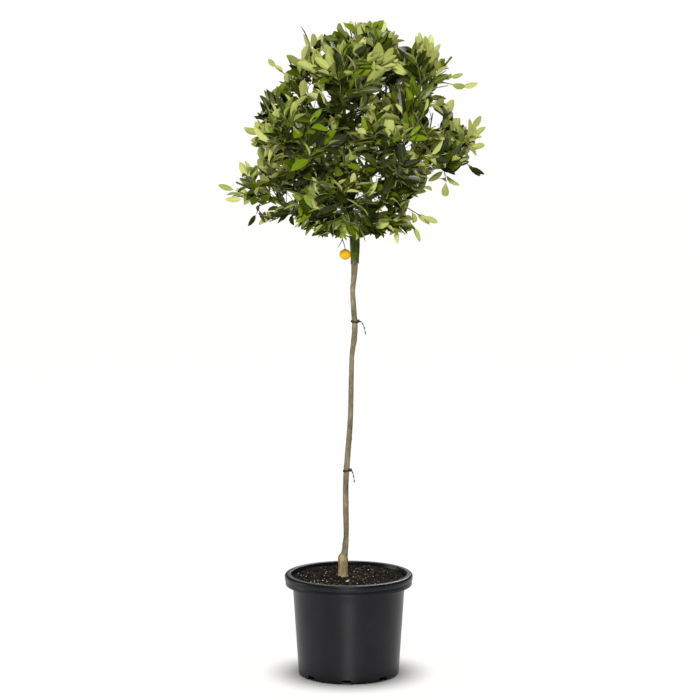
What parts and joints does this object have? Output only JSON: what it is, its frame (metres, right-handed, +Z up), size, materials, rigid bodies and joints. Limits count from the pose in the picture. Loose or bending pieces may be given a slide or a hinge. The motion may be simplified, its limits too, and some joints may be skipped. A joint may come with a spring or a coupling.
{
  "type": "potted standard citrus tree",
  "caption": "Small-fruited orange tree grown as a standard: slim bare trunk with a graft, loose round crown of glossy leaves and a hanging fruit, in a round black nursery pot of potting mix.",
  "frame": {"origin": "centre of the pot's flat underside, at floor level", "axes": "+Z up along the trunk, -Y towards the viewer of the picture, +X to the viewer's right"},
  "size_m": [0.8313, 0.7146, 2.036],
  "materials": {
    "pot": "moulded black plastic, soft sheen",
    "potting_mix": "dark composted bark with pale grit",
    "trunk": "smooth grey-olive bark with fine lengthwise cracks",
    "scion_bark": "dark green bark",
    "tie": "soft black plastic",
    "fruit": "orange rind, fine pores, light gloss",
    "foliage": "glossy deep green leaves, pale yellow-green beneath"
  },
  "bodies": {
    "root": {"pot": "pot", "potting_mix": "potting_mix", "trunk": "trunk", "leader": "scion_bark", "tie_upper": "tie", "tie_lower": "tie", "fruiting_twig": "fruit", "bough_upper_right": "scion_bark", "bough_upper_left": "scion_bark", "bough_upper_front": "scion_bark", "bough_upper_back": "scion_bark", "bough_middle_right": "scion_bark", "bough_middle_left": "scion_bark", "bough_middle_front_right": "scion_bark", "bough_middle_front_left": "scion_bark", "bough_middle_back": "scion_bark", "bough_lower_right": "scion_bark", "bough_lower_left": "scion_bark", "bough_lower_front": "scion_bark", "bough_lower_back": "scion_bark", "foliage_top": "foliage", "foliage_upper_right": "foliage", "foliage_upper_left": "foliage", "foliage_upper_front": "foliage", "foliage_upper_back": "foliage", "foliage_middle_right": "foliage", "foliage_middle_left": "foliage", "foliage_middle_front_right": "foliage", "foliage_middle_front_left": "foliage", "foliage_middle_back": "foliage", "foliage_lower_right": "foliage", "foliage_lower_left": "foliage", "foliage_lower_front": "foliage", "foliage_lower_back": "foliage"}
  },
  "joints": []
}
